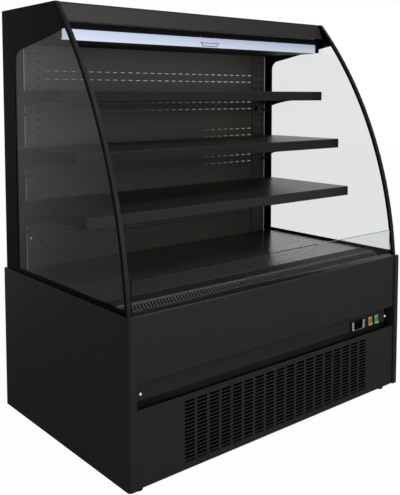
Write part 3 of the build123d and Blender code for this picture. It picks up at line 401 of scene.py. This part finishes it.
# the shelf boards are coated smoother than the rest, so their tops take a soft shine from the right
shelf_coat = coat_or_moulding(
    "smooth_black_shelf_coat", "#2a2926", "#252421",
    roughness=0.36, spread=0.03, peel_mm=3.0, relief_mm=0.005, patch_mm=200, specular=0.6,
)
# the turned-down fronts of the two upper boards are duller than their tops, and painted darker as painted
# shade
board_edge_painted_shade = coat_or_moulding(
    "matt_black_shelf_edge_painted_shade", "#21201e", "#1d1c1a",
    roughness=0.6, spread=0.05, peel_mm=3.0, relief_mm=0.03, patch_mm=200, specular=0.1,
)
# the back and uprights are the same coat over zinc sheet, coloured a little lighter and greyer as painted
# light on the wall
wall_coat_painted_light = coat_or_moulding(
    "black_powder_coat_with_painted_light", "#3e3b35", "#37342f",
    roughness=0.5, spread=0.06, peel_mm=3.0, relief_mm=0.03, patch_mm=220, specular=0.25,
)
# the deck pan is smooth coated without any peel, and mirrors what stands behind it
deck_coat = coat_or_moulding(
    "smooth_black_coated_deck", "#3b3a37", "#353431",
    roughness=0.22, spread=0.01, peel_mm=80.0, relief_mm=0.0, patch_mm=240, specular=1.0,
)
# the air return is duller than the deck, and the bars of its slotted slope, on the faces that look up and
# out, are painted a little paler as painted light
return_coat = coat_or_moulding(
    "black_coated_air_return", "#1b1a19", "#161514",
    roughness=0.5, spread=0.02, peel_mm=60.0, relief_mm=0.0, patch_mm=120, specular=0.2,
)
bar_painted_light = coat_or_moulding(
    "air_return_bars_painted_light", "#54534f", "#4c4b47",
    roughness=0.45, spread=0.02, peel_mm=60.0, relief_mm=0.0, patch_mm=120, specular=0.2,
)
# black anodised aluminium: fine and even, with a tighter highlight than powder coat
trim_coat = coat_or_moulding(
    "black_anodised_profile", "#1c1b19", "#181715",
    roughness=0.45, spread=0.03, peel_mm=1.5, relief_mm=0.02, patch_mm=120, specular=0.15,
)
black_rail = coat_or_moulding(
    "black_anodised_rail", "#090908", "#070706",
    roughness=0.5, spread=0.03, peel_mm=2.0, relief_mm=0.02, patch_mm=90, specular=0.05,
)
# matt ABS and glass-filled nylon mouldings, with a fine spark-eroded texture
black_plastic = coat_or_moulding(
    "black_abs_moulding", "#0e0e0e", "#0a0a0a",
    roughness=0.5, spread=0.05, peel_mm=1.2, relief_mm=0.04, patch_mm=60, specular=0.2,
)
grey_plastic = coat_or_moulding(
    "pale_grey_abs_keys", "#8f8f8d", "#858583",
    roughness=0.45, spread=0.05, peel_mm=1.2, relief_mm=0.03, patch_mm=30, specular=0.3,
)
# smoked acrylic over an unlit display: smooth and all but black
smoked_window = coat_or_moulding(
    "smoked_acrylic_window", "#040405", "#030304",
    roughness=0.3, spread=0.02, peel_mm=8.0, relief_mm=0.01, patch_mm=40, specular=0.03,
)
# pale ink printed on the controller's bezel: flat and matt
print_grey = coat_or_moulding(
    "pale_printed_line", "#7d7d7b", "#757573",
    roughness=0.5, spread=0.04, peel_mm=1.0, relief_mm=0.01, patch_mm=20, specular=0.2,
)
# rubber under the feet: dull and dusty
foot_rubber = coat_or_moulding(
    "black_rubber_pad", "#101010", "#0b0b0b",
    roughness=0.7, spread=0.06, peel_mm=2.0, relief_mm=0.1, patch_mm=40, specular=0.2,
)
# thick black enamel on the compressor and the floor tray: an uneven, runny skin, kept all but black so that
# it is also painted shade behind the grille's slots
machine_coat_and_shade = coat_or_moulding(
    "black_enamelled_machinery_and_painted_shade", "#090909", "#060606",
    roughness=0.5, spread=0.06, peel_mm=3.0, relief_mm=0.1, patch_mm=80, specular=0.15,
)
# moulded liner of the well and of the back: dark, with a soft leather-like skin
liner_plastic = coat_or_moulding(
    "dark_well_liner", "#0a0a0a", "#070707",
    roughness=0.55, spread=0.05, peel_mm=3.0, relief_mm=0.1, patch_mm=120, specular=0.2,
)
# bright zinc plating on screws and rivets: nearly white, with a soft broken glint
bright_zinc = bare_metal(
    "bright_zinc_plating", "#ffffff", "#f0f0ee", roughness=0.34, grain_mm=1.5, metallic=0.15
)
# aluminium fins of the coils, blackened: dark with a metal's sheen
fin_metal = bare_metal(
    "blackened_aluminium_fins", "#1e1f20", "#141516", roughness=0.5, grain_mm=3.0, metallic=1.0
)
# the blind's handle is drawn wire: dark in its bar and loop, with a pale painted reflection of the lit cover
# where its legs pass it
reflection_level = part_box("blind_handle")[0].z + 23 * MM
drawn_wire = handle_wire("#14161a", "#c6cde2", middle=reflection_level, reach=10 * MM)
# pressed slot lips with a painted highlight for the lamp that they mirror, paler and paler to the right
lip_highlight_near = metal_with_painted_highlight("slot_lip_upper_painted_highlight", "#55524c", "#f2f0e8", begins=-0.62, run=1.0, glint=0.1)
lip_highlight_middle = metal_with_painted_highlight("slot_lip_middle_painted_highlight", "#48453f", "#dddbd3", begins=-0.1, run=0.55, glint=0.35)
lip_highlight_far = metal_with_painted_highlight("slot_lip_lower_painted_highlight", "#2b2924", "#cfcdc5", begins=0.2, run=0.26, glint=0.35)
# the outer edges of the uprights carry a painted highlight in the same way, more evenly
edge_highlight = metal_with_painted_highlight("upright_edge_painted_highlight", "#86847d", "#c9c2be", begins=-0.3, run=0.6, glint=0.1)
# the top edge of the front is painted paler towards the right: a painted reflection of the bright backdrop
top_edge_reflection = metal_with_painted_highlight("top_edge_painted_reflection", "#201f1d", "#5d5c59", begins=0.1, run=0.5, specular=0.1)
# zinc sheet at the back: grey spangles
zinc_sheet = galvanised_sheet()
# the end panes have the faint grey of plain glass
end_glass = float_glass("clear_float_glass", "#ebedec", specular=0.5)
# the low riser is coated against glare and all but colourless, so what lies behind it stays black
riser_pane = float_glass("low_iron_riser_glass", "#f9fbfa", specular=0.12)
# the lit cover is the only bright surface of the case, and it is a little blue
lamp_cover = opal_lamp_cover(*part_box("lamp_diffuser"))
# the blind's cloth has a dull metal grey
cloth = woven_blind_cloth()
# the two rockers are unlit: coloured in their middle, and milky at both ends
rocker_middle = sum(corner.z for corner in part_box("rocker_amber")) / 2
rocker_reach = 14 * MM
amber_lens = lens_plastic("amber_polycarbonate", "#80622f", "#a58d70", rocker_middle, rocker_reach)
green_lens = lens_plastic("green_polycarbonate", "#3a7634", "#769a6e", rocker_middle, rocker_reach)

finishes = {
    outer_coat: (
        "base_side_left", "base_side_right", "front_panel", "control_strip", "grille_panel", "canopy_fascia",
        "canopy_roof",
    ),
    frame_coat: ("end_frame_left", "end_frame_right", "canopy_cheeks", "lamp_housing"),
    inner_coat: (
        "shelf_board_1", "shelf_board_2", "shelf_board_3", "shelf_brackets_1",
        "shelf_brackets_2", "shelf_brackets_3", "canopy_underside",
    ),
    # the back and uprights: the inside coat, lightened as painted light
    wall_coat_painted_light: ("inner_back_panel", "uprights"),
    deck_coat: ("deck_pan",),
    return_coat: ("return_grille",),
    trim_coat: ("trim_left", "trim_right"),
    # the riser profile is wholly in the top edge's painted reflection
    top_edge_reflection: ("riser_profile",),
    black_plastic: (
        "controller_body", "switch_housings", "power_inlet_gland", "condenser_fan_blades", "electrical_box",
        "evaporator_fan_blades_left", "evaporator_fan_blades_right",
    ),
    grey_plastic: ("key_up", "key_down", "key_set", "key_power"),
    smoked_window: ("controller_display",),
    foot_rubber: ("foot_front_left", "foot_front_right", "foot_rear_left", "foot_rear_right"),
    machine_coat_and_shade: ("compressor", "condenser_fan_housing", "base_floor"),
    liner_plastic: ("insulated_well", "evaporator_fan_housings"),
    fin_metal: ("condenser_coil", "evaporator_coil"),
    zinc_sheet: ("back_wall", "rear_panel"),
    bright_zinc: ("screws",),
    drawn_wire: ("blind_handle",),
    black_rail: ("blind_rail",),
    end_glass: ("end_glasses",),
    riser_pane: ("riser_glass",),
    lamp_cover: ("lamp_diffuser",),
    cloth: ("blind_tube",),
    amber_lens: ("rocker_amber",),
    green_lens: ("rocker_green",),
}
for finish, names in finishes.items():
    for name in names:
        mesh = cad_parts[name].data
        mesh.materials.clear()
        mesh.materials.append(finish)


def paint_faces(names, finish, facing):
    """gives the faces that look along a direction, either way where it is along X, a second finish"""
    least_match = 0.9
    for name in names:
        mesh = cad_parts[name].data
        mesh.materials.append(finish)
        for polygon in mesh.polygons:
            match = polygon.normal.dot(Vector(facing))
            if match > least_match or (facing[0] and match < -least_match):
                polygon.material_index = len(mesh.materials) - 1


SIDEWAYS = (1, 0, 0)
FORWARDS = (0, -1, 0)
UPWARDS = (0, 0, 1)
# the air return's slotted slope rises from the riser to the deck
SLOPE_OUTWARDS = (0, -0.61, 0.79)
paint_faces(("shelf_board_1", "shelf_board_2", "shelf_board_3"), shelf_coat, UPWARDS)
# the boards' fronts take the darker painted shade
paint_faces(("shelf_board_1", "shelf_board_2"), board_edge_painted_shade, FORWARDS)
# the top faces of the front take the top edge's painted reflection
paint_faces(("front_panel",), top_edge_reflection, UPWARDS)
# the slope's faces that look up and out take the paler painted light
paint_faces(("return_grille",), bar_painted_light, SLOPE_OUTWARDS)
# the back wall has a dark liner inside the case, and zinc sheet outside
paint_faces(("back_wall",), liner_plastic, FORWARDS)
# the trims are painted with the end frames on their sides, and only their front edge is bare anodising
paint_faces(("trim_left", "trim_right"), frame_coat, SIDEWAYS)


# ------------------------------------------------------------------ making pieces
def add_object(name, data):
    """a new object in the scene"""
    added = bpy.data.objects.new(name, data)
    scene.collection.objects.link(added)
    return added


def object_from_bmesh(name, shape, finish):
    """a new object from a bmesh, which is used up"""
    mesh = bpy.data.meshes.new(name)
    shape.to_mesh(mesh)
    shape.free()
    mesh.materials.append(finish)
    return add_object(name, mesh)


def repeat_on_places(name, places, build_item, sizes, finish, body):
    """one piece made of the same small item at every place; build_item joins the item's nodes to its sizes"""
    shape = bmesh.new()
    for place in places:
        shape.verts.new(place)
    piece = object_from_bmesh(name, shape, finish)
    tree = bpy.data.node_groups.new(name, "GeometryNodeTree")
    tree.interface.new_socket("Geometry", in_out="INPUT", socket_type="NodeSocketGeometry")
    sockets = {
        label: tree.interface.new_socket(label, in_out="INPUT", socket_type="NodeSocketFloat")
        for label in sizes
    }
    tree.interface.new_socket("Geometry", in_out="OUTPUT", socket_type="NodeSocketGeometry")
    given = add_node(tree, "NodeGroupInput")
    item = build_item(tree, given)
    placed = add_node(
        tree, "GeometryNodeInstanceOnPoints", {}, {"Points": (given, "Geometry"), "Instance": (item, 0)}
    )
    real = add_node(tree, "GeometryNodeRealizeInstances", {}, {0: (placed, 0)})
    dressed = add_node(tree, "GeometryNodeSetMaterial", {"Material": finish}, {0: (real, 0)})
    add_node(tree, "NodeGroupOutput", {}, {0: (dressed, 0)})
    modifier = piece.modifiers.new("repeat", "NODES")
    modifier.node_group = tree
    for label, socket in sockets.items():
        modifier[socket.identifier] = sizes[label]
    evaluated = piece.evaluated_get(bpy.context.evaluated_depsgraph_get())
    mesh = bpy.data.meshes.new_from_object(evaluated)
    piece.modifiers.remove(modifier)
    piece.data = mesh
    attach(piece, body)


def bar_item(tree, given):
    """a straight bar, sized along X, Y and Z"""
    size = add_node(
        tree, "ShaderNodeCombineXYZ", {}, {0: (given, "Width"), 1: (given, "Depth"), 2: (given, "Height")}
    )
    return add_node(tree, "GeometryNodeMeshCube", {}, {"Size": (size, 0)})


def head_item(tree, given):
    """a domed rivet or screw head that faces along Y"""
    ball = add_node(tree, "GeometryNodeMeshUVSphere", {"Segments": 14, "Rings": 8, "Radius": 1.0})
    size = add_node(
        tree, "ShaderNodeCombineXYZ", {}, {0: (given, "Radius"), 1: (given, "Rise"), 2: (given, "Radius")}
    )
    return add_node(tree, "GeometryNodeTransform", {}, {"Geometry": (ball, 0), "Scale": (size, 0)})


# ------------------------------------------------------------------ slotted back and uprights
def dress_slots():
    """the pressed lip of each slot carries a painted highlight for the lamp, most of all in the rows nearest
    to it
    """
    top_row = 1217 * MM
    row_pitch = 28.6 * MM
    rows_per_pair = 2
    rows_from_pair_to_pair = 4
    columns = 29
    column_pitch = 34.7 * MM
    lip_drop = 1.4 * MM
    lip_proud = 0.3 * MM
    lip_sizes = {"Width": 18 * MM, "Depth": 0.8 * MM, "Height": 2.5 * MM}
    panel_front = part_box("inner_back_panel")[0].y
    # the lips' painted highlight dims row by row away from the lamp, and the lowest rows have none
    pair_finishes = (lip_highlight_near, lip_highlight_middle, lip_highlight_far, lip_highlight_far, inner_coat, inner_coat)
    for pair, finish in enumerate(pair_finishes):
        places = []
        for row in range(rows_per_pair):
            height = top_row - (rows_from_pair_to_pair * pair + row) * row_pitch - lip_drop
            for column in range(columns):
                across = (column - (columns - 1) / 2) * column_pitch
                places.append((across, panel_front - lip_proud, height))
        repeat_on_places(f"slot_lips_{pair + 1}", places, bar_item, lip_sizes, finish, "case")


def dress_uprights():
    """a thin bright bar down the outer edge of each upright: a painted highlight where the edge catches the
    light
    """
    edge_outside = 2 * MM
    edge_proud = 0.4 * MM
    end_gap = 3 * MM
    low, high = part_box("uprights")
    middle_height = (low.z + high.z) / 2
    places = [
        (side * (high.x + edge_outside), low.y - edge_proud, middle_height) for side in (-1, 1)
    ]
    sizes = {"Width": 2.2 * MM, "Depth": 0.8 * MM, "Height": high.z - low.z - 2 * end_gap}
    repeat_on_places("upright_edges", places, bar_item, sizes, edge_highlight, "case")


dress_slots()
dress_uprights()


# ------------------------------------------------------------------ controller print
def dress_bezel():
    """the line printed on the bezel that joins the two columns of keys"""
    line_drop = 1.4 * MM
    low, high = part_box("controller_body")
    left = sum(corner.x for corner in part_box("key_up")) / 2
    right = sum(corner.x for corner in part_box("key_set")) / 2
    line_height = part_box("key_down")[0].z - line_drop
    places = [((low.x + high.x) / 2, low.y, line_height)]
    sizes = {"Width": right - left, "Depth": 0.4 * MM, "Height": 1.3 * MM}
    repeat_on_places("bezel_line", places, bar_item, sizes, print_grey, "case")


def dress_key(name, body):
    """a small dark dot in the middle of a key"""
    low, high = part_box(name)
    centre = (low + high) / 2
    places = [(centre.x, low.y, centre.z)]
    sizes = {"Radius": 1.4 * MM, "Rise": 0.25 * MM}
    repeat_on_places(f"{name}_dot", places, head_item, sizes, black_plastic, body)


dress_bezel()
dress_key("key_up", "up_key")
dress_key("key_down", "down_key")
dress_key("key_set", "set_key")
dress_key("key_power", "power_key")


# ------------------------------------------------------------------ rear rivets
def dress_rear():
    """blind rivets along the top and the foot of the rear panel, and down both edges of the back wall"""
    inset = 14 * MM
    rivets_across = 9
    rivets_down = 7
    foot_gap = 4 * inset
    top_gap = 2 * inset
    sizes = {"Radius": 3.2 * MM, "Rise": 1.4 * MM}
    panel_low, panel_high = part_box("rear_panel")
    wall_low, wall_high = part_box("back_wall")
    places = []
    for step in range(rivets_across):
        share = step / (rivets_across - 1)
        across = panel_low.x + inset + (panel_high.x - panel_low.x - 2 * inset) * share
        for height in (panel_high.z - inset, panel_low.z + inset):
            places.append((across, panel_high.y, height))
    for step in range(rivets_down):
        share = step / (rivets_down - 1)
        height = wall_low.z + foot_gap + (wall_high.z - wall_low.z - foot_gap - top_gap) * share
        for edge in (wall_low.x + inset, wall_high.x - inset):
            places.append((edge, wall_high.y, height))
    repeat_on_places("rear_rivets", places, head_item, sizes, bright_zinc, "case")


dress_rear()


# ------------------------------------------------------------------ night blind cloth
def make_blind_cloth():
    """the stretch of cloth between the roller and the bar, made of rows of faces"""
    rows = 24
    columns = 40
    low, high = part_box("blind_sheet")
    half = high.x
    shape = bmesh.new()
    grid = []
    for row in range(rows + 1):
        share = row / rows
        depth = low.y + (high.y - low.y) * share
        height = low.z + (high.z - low.z) * share
        grid.append([
            shape.verts.new((-half + 2 * half * column / columns, depth, height))
            for column in range(columns + 1)
        ])
    for lower, upper in zip(grid, grid[1:]):
        for column in range(columns):
            shape.faces.new((lower[column], lower[column + 1], upper[column + 1], upper[column]))
    bmesh.ops.recalc_face_normals(shape, faces=shape.faces)
    piece = object_from_bmesh("blind_cloth", shape, cloth)
    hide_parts("blind_sheet")
    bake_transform(piece)


make_blind_cloth()


# ------------------------------------------------------------------ floor, light and camera
def seen_directly(tree, ray):
    """1 for what the camera sees, also straight through glass, and 0 for what is mirrored or gives light"""
    bounces = add_node(
        tree, "ShaderNodeMath", {"operation": "ADD"}, {0: (ray, "Glossy Depth"), 1: (ray, "Diffuse Depth")}
    )
    straight = add_node(tree, "ShaderNodeMath", {"operation": "LESS_THAN", 1: HALF_BOUNCE}, {0: (bounces, 0)})
    through = add_node(
        tree, "ShaderNodeMath", {"operation": "MULTIPLY"}, {0: (ray, "Is Transmission Ray"), 1: (straight, 0)}
    )
    return add_node(
        tree, "ShaderNodeMath", {"operation": "MAXIMUM"}, {0: (ray, "Is Camera Ray"), 1: (through, 0)}
    )


def seen_in_gloss(tree, ray):
    """1 for what a glossy surface mirrors, and 0 for the rest"""
    return add_node(
        tree, "ShaderNodeMath", {"operation": "GREATER_THAN", 1: HALF_BOUNCE}, {0: (ray, "Glossy Depth")}
    )


def mirrored_level(tree, direction, output):
    """how bright gloss mirrors the studio in a direction: a dark room in front, rising to the white backdrop
    behind"""
    toward_backdrop = (0.64, 0.77, 0.0)
    room_edge = -0.35
    backdrop_edge = 0.75
    falloff = 3.4
    darkest = 0.09
    toward = add_node(
        tree,
        "ShaderNodeVectorMath",
        {"operation": "DOT_PRODUCT", 1: toward_backdrop},
        {0: (direction, output)},
    )
    share = add_node(
        tree,
        "ShaderNodeMapRange",
        {"From Min": room_edge, "From Max": backdrop_edge},
        {"Value": (toward, "Value")},
    )
    rise = add_node(tree, "ShaderNodeMath", {"operation": "POWER", 1: falloff}, {0: (share, 0)})
    return add_node(tree, "ShaderNodeMath", {"operation": "MAXIMUM", 1: darkest}, {0: (rise, 0)})


def studio_floor():
    """matt pale floor that keeps the case's shadow and fades into the white behind it; gloss mirrors it no
    brighter than the studio round it"""
    cloud_mm = 500
    white_share = 0.97
    material, tree = new_material("pale_floor")
    place = add_node(tree, "ShaderNodeTexCoord")
    cloud = add_node(
        tree, "ShaderNodeTexNoise", {"Scale": per_metre(cloud_mm)}, {"Vector": (place, "Object")}
    )
    tone = add_node(
        tree,
        "ShaderNodeMix",
        {"data_type": "RGBA", FIRST: linear("#f6f6f6"), SECOND: linear("#fcfcfc")},
        {FACTOR: (cloud, 0)},
    )
    body = add_node(tree, "ShaderNodeBsdfDiffuse", {}, {"Color": (tone, MIXED)})
    white = add_node(tree, "ShaderNodeEmission", {"Color": WHITE, "Strength": 1.0})
    ray = add_node(tree, "ShaderNodeLightPath")
    seen = seen_directly(tree, ray)
    share = add_node(tree, "ShaderNodeMath", {"operation": "MULTIPLY", 1: white_share}, {0: (seen, 0)})
    aim = add_node(tree, "ShaderNodeVectorMath", {"operation": "NORMALIZE"}, {0: (place, "Object")})
    level = mirrored_level(tree, aim, 0)
    dim = add_node(tree, "ShaderNodeEmission", {"Color": WHITE}, {"Strength": (level, 0)})
    mirrored = seen_in_gloss(tree, ray)
    ground = add_node(tree, "ShaderNodeMixShader", {}, {0: (mirrored, 0), 1: (body, 0), 2: (dim, 0)})
    mix = add_node(tree, "ShaderNodeMixShader", {}, {0: (share, 0), 1: (ground, 0), 2: (white, 0)})
    finish_material(tree, mix, 0)
    return material


def make_floor():
    """one wide flat sheet under the case"""
    reach = 12
    shape = bmesh.new()
    bmesh.ops.create_grid(shape, x_segments=1, y_segments=1, size=reach)
    object_from_bmesh("floor", shape, studio_floor())


def make_world():
    """an even pale studio: plain white where the camera sees it, also through glass; gloss mirrors the white
    backdrop behind the case, or the darker room in front of it"""
    room_level = 0.49
    world = bpy.data.worlds.new("studio")
    scene.world = world
    world.use_nodes = True
    tree = world.node_tree
    tree.nodes.clear()
    ray = add_node(tree, "ShaderNodeLightPath")
    place = add_node(tree, "ShaderNodeTexCoord")
    level = mirrored_level(tree, place, "Generated")
    room = add_node(tree, "ShaderNodeBackground", {"Color": WHITE, "Strength": room_level})
    gloss = add_node(tree, "ShaderNodeBackground", {"Color": WHITE}, {"Strength": (level, 0)})
    white = add_node(tree, "ShaderNodeBackground", {"Color": WHITE, "Strength": 1.0})
    mirrored = seen_in_gloss(tree, ray)
    lit = add_node(tree, "ShaderNodeMixShader", {}, {0: (mirrored, 0), 1: (room, 0), 2: (gloss, 0)})
    seen = seen_directly(tree, ray)
    mix = add_node(tree, "ShaderNodeMixShader", {}, {0: (seen, 0), 1: (lit, 0), 2: (white, 0)})
    add_node(tree, "ShaderNodeOutputWorld", {}, {"Surface": (mix, 0)})


def make_camera():
    """the photograph's place and direction: left of the front and a little above"""
    place = (-1.7113, -1.9979, 1.1285)
    azimuth = math.radians(-39.688)
    elevation = math.radians(4.434)
    camera = bpy.data.cameras.new("camera")
    camera.sensor_fit = "VERTICAL"
    camera.sensor_height = 36.0
    camera.lens = 52.61
    camera.shift_x = 0.0035
    camera.shift_y = -0.1933
    camera.clip_end = 60
    holder = add_object("camera", camera)
    back = Vector((
        math.sin(azimuth) * math.cos(elevation),
        -math.cos(azimuth) * math.cos(elevation),
        math.sin(elevation),
    ))
    right = Vector((math.cos(azimuth), math.sin(azimuth), 0))
    up = back.cross(right)
    turn = Matrix((right, up, back)).transposed().to_4x4()
    holder.matrix_world = Matrix.Translation(place) @ turn
    scene.camera = holder


def add_area_light(name, place, target, width, height, power, colour="#ffffff"):
    """a soft rectangular lamp aimed at a point"""
    lamp = bpy.data.lights.new(name, "AREA")
    lamp.shape = "RECTANGLE"
    lamp.size = width
    lamp.size_y = height
    lamp.energy = power
    lamp.color = linear(colour)[:3]
    holder = add_object(name, lamp)
    holder.location = place
    holder.rotation_euler = (Vector(target) - Vector(place)).to_track_quat("-Z", "Y").to_euler()


def light_studio():
    """softboxes in front, above, at the left front corner and at the left"""
    add_area_light(
        "front_softbox", place=(1.0, -3.8, 1.5), target=(0, 0, 0.8), width=2.6, height=1.8, power=57
    )
    add_area_light(
        "top_softbox", place=(0.4, -1.9, 3.3), target=(0, 0, 1.1), width=2.0, height=1.2, power=37
    )
    add_area_light(
        "corner_softbox", place=(-3.0, -2.0, 1.9), target=(-0.6, -0.39, 0.3), width=0.4, height=1.6, power=4
    )
    add_area_light(
        "left_softbox", place=(-3.4, 0.4, 2.4), target=(0, 0, 0.6), width=1.8, height=1.8, power=2.7
    )


def light_inside():
    """the cool light that the case's own lamp adds to the back, from just under the canopy"""
    from_front = 20 * MM
    gap_below = 6 * MM
    aim_drop = 300 * MM
    low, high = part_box("canopy_underside")
    add_area_light(
        "case_lamp",
        place=(0, low.y + from_front, low.z - gap_below),
        target=(0, high.y, low.z - aim_drop),
        width=1.1,
        height=0.03,
        power=0.5,
        colour="#e6ebff",
    )


make_floor()
make_world()
make_camera()
light_studio()
light_inside()

scene.view_settings.view_transform = "Standard"
